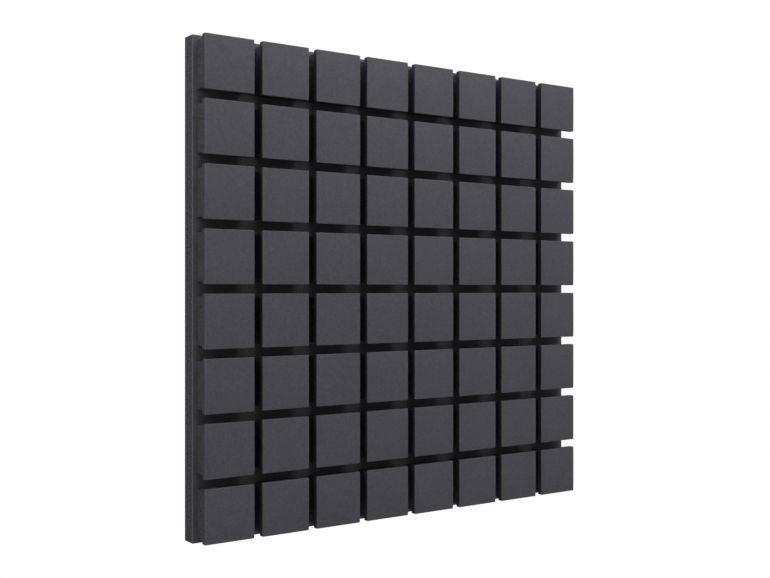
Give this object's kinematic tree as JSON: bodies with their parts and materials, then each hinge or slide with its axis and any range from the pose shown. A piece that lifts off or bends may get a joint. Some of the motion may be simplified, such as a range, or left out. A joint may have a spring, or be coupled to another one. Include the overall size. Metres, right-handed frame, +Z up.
{
  "type": "acoustic foam panel",
  "caption": "Square wall panel of charcoal acoustic foam: a flat backing slab carrying a grid of square blocks with overhanging heads, parted by T-shaped grooves.",
  "frame": {"origin": "middle of the slab's flat back face, which is glued to the wall", "axes": "+Y points into the wall, so the blocks face -Y; +X is to the right when the panel is seen from the front; +Z is up"},
  "size_m": [0.6, 0.049, 0.6],
  "materials": {
    "slab_foam": "matt open-cell foam, cut faces finely speckled, charcoal grey",
    "block_foam": "matt open-cell foam, smooth fine-grained faces with softly broken edges, charcoal grey"
  },
  "bodies": {
    "root": {"backing_slab": "slab_foam", "block_row_1": "block_foam", "block_row_2": "block_foam", "block_row_3": "block_foam", "block_row_4": "block_foam", "block_row_5": "block_foam", "block_row_6": "block_foam", "block_row_7": "block_foam", "block_row_8": "block_foam"}
  },
  "joints": []
}
